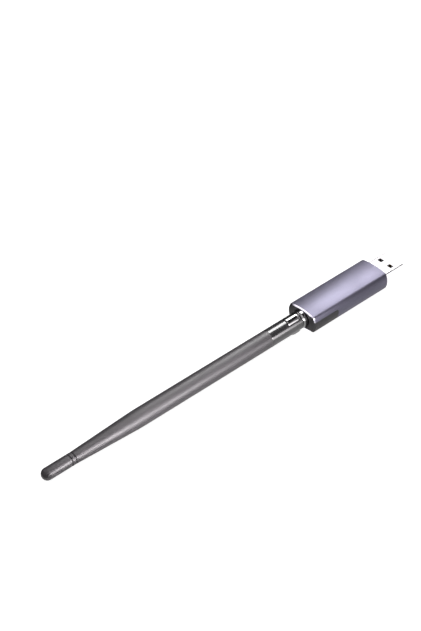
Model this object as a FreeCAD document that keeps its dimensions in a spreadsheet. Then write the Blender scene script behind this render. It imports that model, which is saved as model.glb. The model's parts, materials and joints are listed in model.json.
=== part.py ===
"""Smart home usb radio stick with a hinged rod antenna.

The frame: the origin is the centre of the plug's front edge, +X points out of the plug's mouth,
+Z is up and the antenna lies straight behind the stick on the X axis. Lengths are millimetres.
"""

import FreeCAD, Part
import math
import os
import Sketcher
from FreeCAD import Placement, Rotation, Vector
from types import SimpleNamespace

# Driving dimensions

SIZES = {
    # plug
    "plug_width": 12.0,
    "plug_height": 4.5,
    "plug_exposed": 13.5,
    "plug_hidden": 4.3,
    "shell_sheet": 0.3,
    "shell_bend": 0.6,
    "seam_width": 0.1,
    "window_width": 2.5,
    "window_length": 2.0,
    "window_spacing": 6.1,
    "window_setback": 6.15,
    "leg_width": 1.2,
    "leg_inset": 3.3,
    "leg_below_board": 0.3,
    "insulator_setback": 0.5,
    "insulator_tail": 0.2,
    "insulator_play": 0.03,
    "insulator_block": 6.0,
    "tongue_thickness": 1.84,
    "contact_sheet": 0.2,
    "contact_width": 1.0,
    "contact_groove": 0.3,
    "contact_play": 0.05,
    "contact_rise": 0.35,
    "contact_outer": 3.5,
    "contact_inner": 1.0,
    "contact_start": 1.6,
    "contact_lag": 1.0,
    "contact_ramp": 1.2,
    "contact_crest": 2.6,
    "contact_foot": 0.9,
    # housing
    "housing_length": 48.3,
    "housing_width": 17.5,
    "housing_height": 10.4,
    "crown_radius": 32.0,
    "side_radius": 8.0,
    "corner_radius": 1.6,
    "sleeve_wall": 0.7,
    "edge_chamfer": 0.4,
    "foot_depth": 0.06,
    "rail_reach": 6.25,
    "rail_thickness": 0.6,
    "rail_play": 0.05,
    "wing_length": 15.3,
    "wing_top": 1.9,
    "wing_inner": 6.1,
    "wing_corner": 1.2,
    "wing_thickness": 1.2,
    "cap_gap": 0.05,
    "cap_plate": 2.2,
    "bezel_depth": 2.0,
    "bezel_play": 0.05,
    # board and what it carries
    "board_width": 13.4,
    "board_clear": 9.5,
    "board_thickness": 0.8,
    "board_gap": 0.1,
    "board_corner": 0.8,
    "chip_side": 5.0,
    "chip_height": 0.85,
    "chip_inset": 6.4,
    "chip_offset": 1.5,
    "dimple_radius": 0.3,
    "dimple_inset": 0.75,
    "dimple_depth": 0.12,
    "radio_side": 6.0,
    "radio_height": 0.9,
    "radio_inset": 8.5,
    "radio_offset": 1.6,
    "can_length": 11.4,
    "can_width": 11.6,
    "can_height": 2.0,
    "can_sheet": 0.2,
    "can_corner": 0.8,
    "can_inset": 10.3,
    "regulator_length": 2.9,
    "regulator_width": 1.6,
    "regulator_height": 1.1,
    "regulator_inset": 5.4,
    "regulator_offset": 4.2,
    "lead_reach": 0.6,
    "lead_width": 0.4,
    "crystal_length": 3.2,
    "crystal_width": 2.5,
    "crystal_height": 0.7,
    "crystal_inset": 13.5,
    "crystal_offset": 3.4,
    "capacitor_length": 1.6,
    "capacitor_width": 0.8,
    "capacitor_height": 0.8,
    "capacitor_pitch": 1.3,
    "capacitor_inset": 6.35,
    "capacitor_offset": 5.2,
    "socket_side": 2.6,
    "socket_base": 0.45,
    "socket_ring": 1.0,
    "socket_wall": 0.15,
    "socket_height": 1.2,
    "socket_inset": 2.3,
    "plug_cap_radius": 1.5,
    "plug_cap_play": 0.05,
    "plug_cap_top": 0.25,
    "crimp_radius": 0.8,
    "crimp_length": 1.2,
    # coaxial lead
    "lead_radius": 0.57,
    "lead_straight": 0.8,
    "lead_bend_length": 5.2,
    "lead_end_gap": 0.2,
    # swivel
    "socket_bore": 2.95,
    "stub_play": 0.05,
    "socket_wall_radius": 4.2,
    "socket_depth": 6.8,
    "recess_radius": 4.8,
    "recess_depth": 0.6,
    "collar_gap": 0.1,
    "collar_radius": 4.3,
    "collar_length": 3.1,
    "collar_round": 1.1,
    "clip_sheet": 0.5,
    "clip_radius": 3.7,
    "clip_groove": 0.6,
    "clip_play": 0.05,
    "clip_mouth": 3.2,
    "stub_tail": 0.7,
    "lead_bore": 0.8,
    # hinge
    "pivot_setback": 6.7,
    "tongue_reach": 4.05,
    "tongue_width": 5.8,
    "tongue_edge": 0.2,
    "slot_width": 2.4,
    "slot_top": 1.6,
    "slot_setback": 2.2,
    "cheek_gap": 0.08,
    "cheek_reach": 3.9,
    "cheek_edge": 0.25,
    "joint_gap": 0.1,
    "pivot_radius": 1.45,
    "pivot_play": 0.05,
    "pivot_depth": 1.5,
    # antenna
    "rod_radius": 4.25,
    "knuckle_length": 11.1,
    "spigot_radius": 2.9,
    "spigot_length": 8.5,
    "rod_wall": 1.3,
    "rod_straight": 78.25,
    "rod_taper": 34.7,
    "tip_radius": 2.85,
    "tip_length": 14.0,
    "groove_setback": 0.4,
    "groove_pitch": 2.1,
    "groove_width": 0.6,
    "groove_depth": 0.25,
    "rod_mouth_edge": 0.25,
    "tip_core_length": 9.0,
    "choke_radius": 2.4,
    "choke_wall": 0.3,
    "choke_length": 28.0,
    "choke_setback": 1.0,
    "wire_radius": 0.4,
    "wire_gap": 1.45,
    "spacer_length": 2.0,
    "spacer_play": 0.03,
    "spacer_first": 14.0,
    "spacer_second": 12.0,
    "spacer_third": 38.0,
}

# The cutters run past the faces that they cut by this much
OVERCUT = 1.0


class Length:
    """A length that holds its number and the sheet formula that gives it."""

    def __init__(self, number, formula):
        self.number = float(number)
        self.formula = formula

    def __float__(self):
        return self.number

    def __neg__(self):
        return Length(-self.number, f"(0 - {self.formula})")

    def __add__(self, other):
        other = as_length(other)
        return Length(self.number + other.number, f"({self.formula} + {other.formula})")

    def __sub__(self, other):
        other = as_length(other)
        return Length(self.number - other.number, f"({self.formula} - {other.formula})")

    def __mul__(self, other):
        other = as_length(other)
        return Length(self.number * other.number, f"({self.formula} * {other.formula})")

    def __truediv__(self, other):
        other = as_length(other)
        return Length(self.number / other.number, f"({self.formula} / {other.formula})")

    __radd__ = __add__
    __rmul__ = __mul__


def as_length(value):
    """Wrap a plain number as a length."""
    if isinstance(value, Length):
        return value
    if value < 0:
        return Length(value, f"(0 - {-value:g})")
    return Length(value, f"{value:g}")


ZERO = as_length(0)

doc = FreeCAD.newDocument("radio_stick")
sheet = doc.addObject("Spreadsheet::Sheet", "sizes")
for row, (alias, number) in enumerate(SIZES.items(), start=1):
    sheet.set(f"A{row}", alias)
    sheet.set(f"B{row}", str(number))
    sheet.setAlias(f"B{row}", alias)
doc.recompute()
s = SimpleNamespace(**{alias: Length(number, f"sizes.{alias}") for alias, number in SIZES.items()})

# Building helpers

PLANES = {"YZ": "YZ_Plane", "XZ": "XZ_Plane", "XY": "XY_Plane"}
# Side of each plane that its normal points to, along the axis that the plane leaves out
PLANE_SIDE = {"YZ": 1, "XZ": -1, "XY": 1}


def new_body(label):
    """Start an empty body."""
    body = doc.addObject("PartDesign::Body", label)
    body.Label = label
    return body


def new_sketch(body, plane, offset):
    """Place a sketch on one of the body's planes, offset along the axis the plane leaves out."""
    sketch = body.newObject("Sketcher::SketchObject", f"{body.Name}_sketch")
    role = PLANES[plane]
    origin_plane = [item for item in body.Origin.OriginFeatures if item.Role == role][0]
    sketch.AttachmentSupport = [(origin_plane, "")]
    sketch.MapMode = "FlatFace"
    distance = offset if PLANE_SIDE[plane] > 0 else -offset
    sketch.setExpression("AttachmentOffset.Base.z", distance.formula)
    return sketch


def bind(sketch, constraint, length):
    """Add a constraint and tie its value to the sheet."""
    index = sketch.addConstraint(constraint)
    sketch.setExpression(f"Constraints[{index}]", length.formula)


def pin_point(sketch, geometry, end, x, y):
    """Fix one point of the sketch at two coordinates."""
    bind(sketch, Sketcher.Constraint("DistanceX", -1, 1, geometry, end, float(x)), as_length(x))
    bind(sketch, Sketcher.Constraint("DistanceY", -1, 1, geometry, end, float(y)), as_length(y))


def arc_between(start, finish, centre):
    """The arc from start to finish about centre, the short way, and whether it runs clockwise."""
    radius = (start - centre).Length
    angles = [math.atan2(point.y - centre.y, point.x - centre.x) for point in (start, finish)]
    clockwise = (start - centre).cross(finish - centre).z < 0
    if clockwise:
        angles.reverse()
    circle = Part.Circle(centre, Vector(0, 0, 1), radius)
    return Part.ArcOfCircle(circle, angles[0], angles[1]), clockwise


def trace(sketch, corners, closed=True):
    """Draw straight runs and arcs through the corners.

    A corner is (x, y), or (x, y, (centre x, centre y), radius) where an arc starts.
    """
    points = [Vector(float(corner[0]), float(corner[1]), 0) for corner in corners]
    count = len(corners) if closed else len(corners) - 1
    ends = []
    for index in range(count):
        corner = corners[index]
        start = points[index]
        finish = points[(index + 1) % len(points)]
        if len(corner) == 2:
            geometry = sketch.addGeometry(Part.LineSegment(start, finish), False)
            ends.append((geometry, 1, 2))
            continue
        centre = Vector(float(corner[2][0]), float(corner[2][1]), 0)
        arc, clockwise = arc_between(start, finish, centre)
        geometry = sketch.addGeometry(arc, False)
        ends.append((geometry, 2, 1) if clockwise else (geometry, 1, 2))
    for index, (geometry, first, last) in enumerate(ends):
        pin_point(sketch, geometry, first, corners[index][0], corners[index][1])
        if len(corners[index]) == 4:
            radius = corners[index][3]
            bind(sketch, Sketcher.Constraint("Radius", geometry, float(radius)), radius)
        if index + 1 < len(ends):
            following = ends[index + 1]
            sketch.addConstraint(Sketcher.Constraint("Coincident", geometry, last, *following[:2]))
        elif closed:
            sketch.addConstraint(Sketcher.Constraint("Coincident", geometry, last, *ends[0][:2]))
        else:
            pin_point(sketch, geometry, last, corners[-1][0], corners[-1][1])


def pad(body, sketch, plane, length):
    """Pad a sketch towards the positive end of the axis that its plane leaves out."""
    feature = body.newObject("PartDesign::Pad", f"{body.Name}_pad")
    feature.Profile = sketch
    feature.setExpression("Length", length.formula)
    feature.Reversed = PLANE_SIDE[plane] < 0
    sketch.Visibility = False
    doc.recompute()
    return feature


def prism(label, plane, corners, start, length):
    """A straight solid with the outline given by its corners."""
    body = new_body(label)
    sketch = new_sketch(body, plane, as_length(start))
    trace(sketch, corners)
    pad(body, sketch, plane, as_length(length))
    return body


def rectangle(left, right, bottom, top):
    """The corners of an upright rectangle."""
    return [(left, bottom), (right, bottom), (right, top), (left, top)]


def slab(label, x, y, z):
    """A box between two values on each axis."""
    return prism(label, "XY", rectangle(x[0], x[1], y[0], y[1]), z[0], as_length(z[1]) - z[0])


def edge_names(shape, test):
    """The names of the edges that pass a test."""
    return [f"Edge{index}" for index, edge in enumerate(shape.Edges, start=1) if test(edge)]


def dress(body, kind, size_name, size, test):
    """Fillet or chamfer the edges that pass a test."""
    base = body.Tip
    feature = body.newObject(f"PartDesign::{kind}", f"{body.Name}_{kind.lower()}")
    feature.Base = (base, edge_names(base.Shape, test))
    feature.setExpression(size_name, size.formula)
    body.Tip = feature
    doc.recompute()
    return feature


def along_axis(edge, axis):
    """Whether a straight edge runs along an axis."""
    if not isinstance(edge.Curve, Part.Line):
        return False
    return abs(abs(edge.Curve.Direction[axis]) - 1) < 1e-6


def oval_prism(label, inset, start, length, end_chamfer=None):
    """The housing's crowned oval, drawn inwards by an inset and run along X.

    Its outline is four arcs: two crowns and two sides, with filleted corners.
    """
    body = new_body(label)
    sketch = new_sketch(body, "YZ", start)
    crown = s.crown_radius - inset
    side = s.side_radius - inset
    crown_centre = s.housing_height / 2 - s.crown_radius
    side_centre = s.housing_width / 2 - s.side_radius
    gap = math.hypot(float(side_centre), float(crown_centre))
    lean = math.atan2(float(crown_centre), float(side_centre))
    near = (gap ** 2 + float(side) ** 2 - float(crown) ** 2) / (2 * gap * float(side))
    turn = math.pi + lean - math.acos(near)
    corner = Vector(float(side_centre) + float(side) * math.cos(turn), float(side) * math.sin(turn), 0)
    corners = [
        Vector(abs(corner.x) * across, abs(corner.y) * upright, 0)
        for across, upright in ((1, 1), (-1, 1), (-1, -1), (1, -1))
    ]
    centres = [(ZERO, crown_centre), (-side_centre, ZERO), (ZERO, -crown_centre), (side_centre, ZERO)]
    radii = [crown, side, crown, side]
    arcs = []
    for index, (centre, radius) in enumerate(zip(centres, radii)):
        middle = Vector(float(centre[0]), float(centre[1]), 0)
        arc, _ = arc_between(corners[index], corners[(index + 1) % 4], middle)
        arcs.append(sketch.addGeometry(arc, False))
    for geometry, centre, radius in zip(arcs, centres, radii):
        pin_point(sketch, geometry, 3, centre[0], centre[1])
        bind(sketch, Sketcher.Constraint("Radius", geometry, float(radius)), radius)
    for index, geometry in enumerate(arcs):
        following = arcs[(index + 1) % 4]
        sketch.addConstraint(Sketcher.Constraint("Coincident", geometry, 2, following, 1))
    pad(body, sketch, "YZ", length)
    dress(body, "Fillet", "Radius", s.corner_radius - inset, lambda edge: along_axis(edge, 0))
    if end_chamfer is not None:
        ends = (float(start), float(start + length))
        dress(
            body,
            "Chamfer",
            "Size",
            end_chamfer,
            lambda edge: edge.BoundBox.XLength < 1e-6
            and min(abs(edge.BoundBox.XMin - end) for end in ends) < 1e-6,
        )
    return body


def turned(label, corners):
    """A solid of revolution about the X axis, from corners (x, radius) of half its section."""
    body = new_body(label)
    sketch = new_sketch(body, "XZ", ZERO)
    trace(sketch, corners)
    feature = body.newObject("PartDesign::Revolution", f"{label}_turn")
    feature.Profile = sketch
    feature.ReferenceAxis = (sketch, ["H_Axis"])
    feature.Angle = 360
    sketch.Visibility = False
    doc.recompute()
    return body


def rod(label, rear, length, radius):
    """A plain cylinder on the X axis that starts at its rear end."""
    cylinder = doc.addObject("Part::Cylinder", label)
    cylinder.Label = label
    cylinder.setExpression("Radius", as_length(radius).formula)
    cylinder.setExpression("Height", as_length(length).formula)
    cylinder.Placement = Placement(Vector(float(rear), 0, 0), Rotation(Vector(0, 1, 0), 90))
    cylinder.setExpression("Placement.Base.x", as_length(rear).formula)
    return cylinder


def post(label, x, y, z, height, radius):
    """A plain upright cylinder that starts at its lower end."""
    cylinder = doc.addObject("Part::Cylinder", label)
    cylinder.Label = label
    cylinder.setExpression("Radius", as_length(radius).formula)
    cylinder.setExpression("Height", as_length(height).formula)
    for name, value in zip("xyz", (x, y, z)):
        cylinder.setExpression(f"Placement.Base.{name}", as_length(value).formula)
    return cylinder


def cross_pin(label, x, start, length, radius):
    """A plain cylinder along Y that starts at its lower Y end."""
    cylinder = doc.addObject("Part::Cylinder", label)
    cylinder.Label = label
    cylinder.setExpression("Radius", as_length(radius).formula)
    cylinder.setExpression("Height", as_length(length).formula)
    cylinder.Placement = Placement(Vector(float(x), float(start), 0), Rotation(Vector(1, 0, 0), -90))
    cylinder.setExpression("Placement.Base.x", as_length(x).formula)
    cylinder.setExpression("Placement.Base.y", as_length(start).formula)
    return cylinder


def fuse(label, *pieces):
    """One solid from several."""
    union = doc.addObject("Part::MultiFuse", label)
    union.Label = label
    union.Shapes = list(pieces)
    union.Refine = True
    return union


def cut(label, base, *tools):
    """A solid with other solids taken away."""
    tool = tools[0] if len(tools) == 1 else fuse(f"{label}_tools", *tools)
    difference = doc.addObject("Part::Cut", label)
    difference.Label = label
    difference.Base = base
    difference.Tool = tool
    difference.Refine = True
    return difference


def common(label, first, second):
    """What two solids share."""
    overlap = doc.addObject("Part::Common", label)
    overlap.Label = label
    overlap.Base = first
    overlap.Tool = second
    overlap.Refine = True
    return overlap


def group(label, pieces):
    """Several separate solids kept as one node."""
    compound = doc.addObject("Part::Compound", label)
    compound.Label = label
    compound.Links = list(pieces)
    return compound


# Places along the stick, all measured from the plug's front

front = -s.plug_exposed
rear = front - s.housing_length
wing_front = rear + s.wing_length
half_plug = s.plug_height / 2
leg_place = front - s.leg_inset
insulator_rear = front - s.plug_hidden - s.insulator_tail
board_top = -half_plug
board_bottom = board_top - s.board_thickness
board_front = front - s.bezel_depth - s.board_gap
collar_front = rear + s.recess_depth - s.collar_gap
collar_rear = collar_front - s.collar_length
pivot = rear - s.pivot_setback
tongue_end = pivot - s.tongue_reach
knuckle_front = tongue_end - s.joint_gap
knuckle_rear = knuckle_front - s.knuckle_length
spigot_rear = knuckle_rear - s.spigot_length
socket_mouth = rear + s.socket_depth
board_rear = socket_mouth + s.board_clear
BEYOND = s.housing_width


def make_sleeve():
    """The extruded housing: crowned oval tube, board rails, side notches and chamfered ends."""
    outer = oval_prism("sleeve_outer", ZERO, rear, s.housing_length, s.edge_chamfer)
    cavity = oval_prism("sleeve_cavity", s.sleeve_wall, rear - OVERCUT, s.housing_length + 2 * OVERCUT)
    tube = cut("sleeve_tube", outer, cavity)
    inside = oval_prism("rail_limit", s.sleeve_wall / 2, rear, s.housing_length)
    ribs = common("sleeve_ribs", fuse("rib_blocks", *rail_blocks("rib", ZERO)), inside)
    ribbed = fuse("sleeve_ribbed", tube, ribs)
    notches = wing_blocks("notch", ZERO)
    underside = s.foot_depth - s.housing_height / 2
    foot = slab("foot_flat", (rear - OVERCUT, front + OVERCUT), (-BEYOND, BEYOND), (-BEYOND, underside))
    return outer, cut("sleeve", ribbed, *notches, foot)


def rail_blocks(label, grow):
    """The two rails on each side that hold the board's edges."""
    blocks = []
    upper = board_top + s.rail_play
    lower = board_bottom - s.rail_play
    spans = {"upper": (upper - grow, upper + s.rail_thickness + grow), "lower": (-BEYOND, lower + grow)}
    for side in (1, -1):
        near = (s.rail_reach - grow) * side
        far = BEYOND * side
        across = (near, far) if side > 0 else (far, near)
        for name, span in spans.items():
            place = "left" if side > 0 else "right"
            blocks.append(slab(f"{label}_{place}_{name}", (rear, front), across, span))
    return blocks


def wing_blocks(label, gap):
    """The side notches' outline at the rear, drawn inwards by a gap."""
    top = s.wing_top - gap
    nose = wing_front - gap
    corner = s.wing_corner - gap
    outline = [
        (rear - OVERCUT, -BEYOND),
        (nose, -BEYOND),
        (nose, top - corner, (nose - corner, top - corner), corner),
        (nose - corner, top),
        (rear - OVERCUT, top),
    ]
    near = s.wing_inner + gap
    blocks = []
    for side in (1, -1):
        start = near if side > 0 else -BEYOND
        place = "left" if side > 0 else "right"
        blocks.append(prism(f"{label}_{place}", "XZ", outline, start, BEYOND - near))
    return blocks


def make_rear_cap(outer):
    """The moulded rear cap: plate, two wings in the notches and the swivel's socket."""
    inset = s.sleeve_wall + s.cap_gap
    plate = oval_prism("cap_plate", inset, rear, s.cap_plate)
    hollow = oval_prism("wing_hollow", s.wing_thickness, rear - OVERCUT, s.wing_length + 2 * OVERCUT)
    skin = cut("wing_skin", outer, hollow)
    wings = common("wings", skin, fuse("wing_pair", *wing_blocks("wing", s.cap_gap)))
    socket = rod("socket_wall", rear, s.socket_depth, s.socket_wall_radius)
    blank = fuse("cap_blank", plate, wings, socket)
    bore = rod("socket_bore", rear - OVERCUT, s.socket_depth + 2 * OVERCUT, s.socket_bore)
    recess = rod("socket_recess", rear - OVERCUT, s.recess_depth + OVERCUT, s.recess_radius)
    return cut("rear_cap", blank, bore, recess)


def make_front_bezel():
    """The moulded frame round the plug, notched for the rails."""
    blank = oval_prism("bezel_blank", s.sleeve_wall + s.cap_gap, front - s.bezel_depth, s.bezel_depth)
    half_width = s.plug_width / 2 + s.bezel_play
    half_height = s.plug_height / 2 + s.bezel_play
    opening = prism(
        "bezel_opening",
        "YZ",
        rectangle(-half_width, half_width, -half_height, half_height),
        front - s.bezel_depth - OVERCUT,
        s.bezel_depth + 2 * OVERCUT,
    )
    dress(opening, "Fillet", "Radius", s.shell_bend + s.bezel_play, lambda edge: along_axis(edge, 0))
    return cut("front_bezel", blank, opening, *rail_blocks("bezel_notch", s.cap_gap))


def make_usb_shell():
    """The plug's shell, folded from sheet: seam below, four windows and two solder legs."""
    length = s.plug_exposed + s.plug_hidden
    shell_rear = -length
    half_width = s.plug_width / 2
    outer = prism(
        "shell_outer", "YZ", rectangle(-half_width, half_width, -half_plug, half_plug), shell_rear, length
    )
    dress(outer, "Fillet", "Radius", s.shell_bend, lambda edge: along_axis(edge, 0))
    inner_width = half_width - s.shell_sheet
    inner_height = half_plug - s.shell_sheet
    inner = prism(
        "shell_inner",
        "YZ",
        rectangle(-inner_width, inner_width, -inner_height, inner_height),
        shell_rear - OVERCUT,
        length + 2 * OVERCUT,
    )
    dress(inner, "Fillet", "Radius", s.shell_bend - s.shell_sheet, lambda edge: along_axis(edge, 0))
    legs = []
    leg_x = (leg_place - s.leg_width / 2, leg_place + s.leg_width / 2)
    leg_z = (board_bottom - s.leg_below_board, ZERO)
    for side in (1, -1):
        place = "left" if side > 0 else "right"
        across = (inner_width, half_width) if side > 0 else (-half_width, -inner_width)
        legs.append(slab(f"leg_{place}", leg_x, across, leg_z))
    tube = cut("shell_tube", outer, inner)
    folded = fuse("shell_folded", tube, *legs)
    windows = []
    window_x = (-s.window_setback - s.window_length / 2, -s.window_setback + s.window_length / 2)
    for side in (1, -1):
        place = "left" if side > 0 else "right"
        middle = s.window_spacing / 2 * side
        across = (middle - s.window_width / 2, middle + s.window_width / 2)
        windows.append(slab(f"window_{place}", window_x, across, (-s.plug_height, s.plug_height)))
    seam = slab(
        "seam",
        (shell_rear - OVERCUT, as_length(OVERCUT)),
        (-s.seam_width / 2, s.seam_width / 2),
        (-s.plug_height, ZERO),
    )
    return cut("usb_shell", folded, *windows, seam)


insulator_floor = -(half_plug - s.shell_sheet - s.insulator_play)
insulator_top = insulator_floor + s.tongue_thickness
groove_floor = insulator_top - s.contact_groove


def contact_rows():
    """Across place and front end of each of the four contacts; the outer two reach further."""
    return [
        (-s.contact_outer, -s.contact_start),
        (-s.contact_inner, -s.contact_start - s.contact_lag),
        (s.contact_inner, -s.contact_start - s.contact_lag),
        (s.contact_outer, -s.contact_start),
    ]


def make_usb_insulator():
    """The moulded block in the lower half of the plug, with a groove for each contact."""
    ceiling = half_plug - s.shell_sheet - s.insulator_play
    block_front = insulator_rear + s.insulator_block
    profile = [
        (insulator_rear, insulator_floor),
        (-s.insulator_setback, insulator_floor),
        (-s.insulator_setback, insulator_top),
        (block_front, insulator_top),
        (block_front, ceiling),
        (insulator_rear, ceiling),
    ]
    half_width = s.plug_width / 2 - s.shell_sheet - s.insulator_play
    blank = prism("insulator_blank", "XZ", profile, -half_width, 2 * half_width)
    dress(
        blank,
        "Fillet",
        "Radius",
        s.shell_bend - s.shell_sheet,
        lambda edge: along_axis(edge, 0)
        and abs(edge.CenterOfMass.z - float(insulator_top)) > float(s.contact_groove),
    )
    grooves = []
    for index, (middle, nose) in enumerate(contact_rows(), start=1):
        half_groove = s.contact_width / 2 + s.contact_play
        across = (middle - half_groove, middle + half_groove)
        run = (insulator_rear - OVERCUT, nose + s.contact_play)
        grooves.append(slab(f"groove_{index}", run, across, (groove_floor, insulator_top)))
    return cut("usb_insulator", blank, *grooves)


def make_usb_contact(number, middle, nose):
    """One sprung contact: a crest in the mouth, a flat run and a tail down to the board."""
    sheet_metal = s.contact_sheet
    low = groove_floor
    crest = low + s.contact_rise
    climb = nose - s.contact_ramp
    top_end = climb - s.contact_crest
    flat_start = top_end - s.contact_ramp
    tail = insulator_rear - s.contact_play
    foot = tail - s.contact_foot
    profile = [
        (nose, low),
        (nose, low + sheet_metal),
        (climb, crest + sheet_metal),
        (top_end, crest + sheet_metal),
        (flat_start, low + sheet_metal),
        (tail - sheet_metal, low + sheet_metal),
        (tail - sheet_metal, board_top + sheet_metal),
        (foot, board_top + sheet_metal),
        (foot, board_top),
        (tail, board_top),
        (tail, low),
        (flat_start, low),
        (top_end, crest),
        (climb, crest),
    ]
    return prism(f"usb_contact_{number}", "XZ", profile, middle - s.contact_width / 2, s.contact_width)


def make_circuit_board():
    """The board, with clipped rear corners and a slot for each leg of the plug's shell."""
    half = s.board_width / 2
    clip = s.board_corner
    outline = [
        (board_front, -half),
        (board_front, half),
        (board_rear + clip, half),
        (board_rear, half - clip),
        (board_rear, clip - half),
        (board_rear + clip, -half),
    ]
    blank = prism("board_blank", "XY", outline, board_bottom, s.board_thickness)
    slots = []
    half_leg = s.leg_width / 2 + s.contact_play
    for side in (1, -1):
        place = "left" if side > 0 else "right"
        near = s.plug_width / 2 - s.shell_sheet - s.contact_play
        far = s.plug_width / 2 + s.contact_play
        across = (near, far) if side > 0 else (-far, -near)
        run = (leg_place - half_leg, leg_place + half_leg)
        slots.append(slab(f"slot_{place}", run, across, (board_bottom - OVERCUT, board_top + OVERCUT)))
    return cut("circuit_board", blank, *slots)


def centred_block(label, x, y, z, length, width, height):
    """A box given by the middle of its underside."""
    return slab(label, (x - length / 2, x + length / 2), (y - width / 2, y + width / 2), (z, z + height))


def make_chip(label, x, y, side, height):
    """A square moulded chip with a small dimple at its first corner."""
    block = centred_block(f"{label}_block", x, y, board_top, side, side, height)
    to_corner = side / 2 - s.dimple_inset
    floor = board_top + height - s.dimple_depth
    dimple = post(f"{label}_dimple", x + to_corner, y - to_corner, floor, height, s.dimple_radius)
    return cut(label, block, dimple)


def make_shield_can():
    """The drawn can over the radio chip: open below, with rounded upright corners."""
    x = board_rear + s.can_inset
    can = centred_block("can_block", x, ZERO, board_top, s.can_length, s.can_width, s.can_height)
    dress(can, "Fillet", "Radius", s.can_corner, lambda edge: along_axis(edge, 2))
    hollow = centred_block(
        "can_hollow",
        x,
        ZERO,
        board_top - OVERCUT,
        s.can_length - 2 * s.can_sheet,
        s.can_width - 2 * s.can_sheet,
        s.can_height - s.can_sheet + OVERCUT,
    )
    dress(hollow, "Fillet", "Radius", s.can_corner - s.can_sheet, lambda edge: along_axis(edge, 2))
    return cut("shield_can", can, hollow)


def make_voltage_regulator():
    """A small moulded regulator with three leads on one side and two on the other."""
    x = board_front - s.regulator_inset
    y = -s.regulator_offset
    body = centred_block(
        "regulator_block", x, y, board_top, s.regulator_length, s.regulator_width, s.regulator_height
    )
    pitch = s.regulator_length / 3
    leads = []
    for side, places in ((1, (-1, 1)), (-1, (-1, 0, 1))):
        for place in places:
            middle = x + pitch * place
            edge = y + s.regulator_width / 2 * side
            tip = edge + s.lead_reach * side
            across = (edge - s.lead_width, tip) if side > 0 else (tip, edge + s.lead_width)
            name = f"regulator_lead_{side + 1}_{place + 1}"
            run = (middle - s.lead_width / 2, middle + s.lead_width / 2)
            leads.append(slab(name, run, across, (board_top, board_top + s.contact_sheet)))
    return fuse("voltage_regulator", body, *leads)


def make_crystal():
    """A flat metal-lidded clock crystal."""
    place = (board_rear + s.crystal_inset, -s.crystal_offset, board_top)
    return centred_block("crystal", *place, s.crystal_length, s.crystal_width, s.crystal_height)


def make_chip_capacitors():
    """A row of small ceramic capacitors, separate solids in one node."""
    middle = board_front - s.capacitor_inset
    size = (s.capacitor_width, s.capacitor_length, s.capacitor_height)
    pieces = []
    for index, steps in enumerate((-1.5, -0.5, 0.5, 1.5)):
        x = middle + s.capacitor_pitch * steps
        pieces.append(centred_block(f"capacitor_{index}", x, s.capacitor_offset, board_top, *size))
    return group("chip_capacitors", pieces)


socket_x = board_rear + s.socket_inset
lead_height = board_top + s.socket_base + s.crimp_radius


def make_coax_socket():
    """The micro coaxial socket: a square base and a thin upright ring."""
    size = (s.socket_side, s.socket_side, s.socket_base)
    base = centred_block("socket_base", socket_x, ZERO, board_top, *size)
    ring = post("socket_ring", socket_x, ZERO, board_top, s.socket_height, s.socket_ring)
    floor = board_top + s.socket_base
    hole = post("socket_hole", socket_x, ZERO, floor, s.socket_height, s.socket_ring - s.socket_wall)
    return cut("coax_socket", fuse("socket_blank", base, ring), hole)


def make_coax_plug():
    """The lead's right-angled plug: a cap over the socket's ring and a crimp towards the rear."""
    floor = board_top + s.socket_base + s.plug_cap_play
    inside = s.socket_height - s.socket_base
    cap = post("plug_cap", socket_x, ZERO, floor, inside + s.plug_cap_top, s.plug_cap_radius)
    crimp_end = socket_x - s.plug_cap_radius - s.crimp_length
    crimp = rod("plug_crimp", crimp_end, s.plug_cap_radius + s.crimp_length, s.crimp_radius)
    crimp.setExpression("Placement.Base.z", lead_height.formula)
    blank = fuse("plug_blank", cap, crimp)
    room_height = s.socket_height + s.plug_cap_play
    room_radius = s.socket_ring + s.plug_cap_play
    room = post("plug_room", socket_x, ZERO, board_top, room_height, room_radius)
    bore = rod("plug_bore", crimp_end - OVERCUT, s.crimp_length + OVERCUT, s.lead_radius)
    bore.setExpression("Placement.Base.z", lead_height.formula)
    return cut("coax_plug", blank, room, bore)


def make_coax_lead():
    """The lead from the plug to the swivel: a straight, an easy S-bend up to the axis, a straight."""
    start = socket_x - s.plug_cap_radius
    bend_start = start - s.crimp_length - s.lead_straight
    bend_end = bend_start - s.lead_bend_length
    finish = socket_mouth + s.clip_groove + s.stub_tail + s.lead_end_gap
    rise = -lead_height
    radius = (s.lead_bend_length * s.lead_bend_length + rise * rise) / (4 * rise)
    middle = ((bend_start + bend_end) / 2, lead_height / 2)
    body = new_body("coax_lead")
    route = new_sketch(body, "XZ", ZERO)
    corners = [
        (start, lead_height),
        (bend_start, lead_height, (bend_start, lead_height + radius), radius),
        (middle[0], middle[1], (bend_end, -radius), radius),
        (bend_end, ZERO),
        (finish, ZERO),
    ]
    trace(route, corners, closed=False)
    section = new_sketch(body, "YZ", start)
    outline = Part.Circle(Vector(0, float(lead_height), 0), Vector(0, 0, 1), float(s.lead_radius))
    circle = section.addGeometry(outline, False)
    pin_point(section, circle, 3, ZERO, lead_height)
    bind(section, Sketcher.Constraint("Radius", circle, float(s.lead_radius)), s.lead_radius)
    doc.recompute()
    pipe = body.newObject("PartDesign::AdditivePipe", "coax_lead_pipe")
    pipe.Profile = section
    pipe.Spine = (route, [])
    doc.recompute()
    return body


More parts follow.
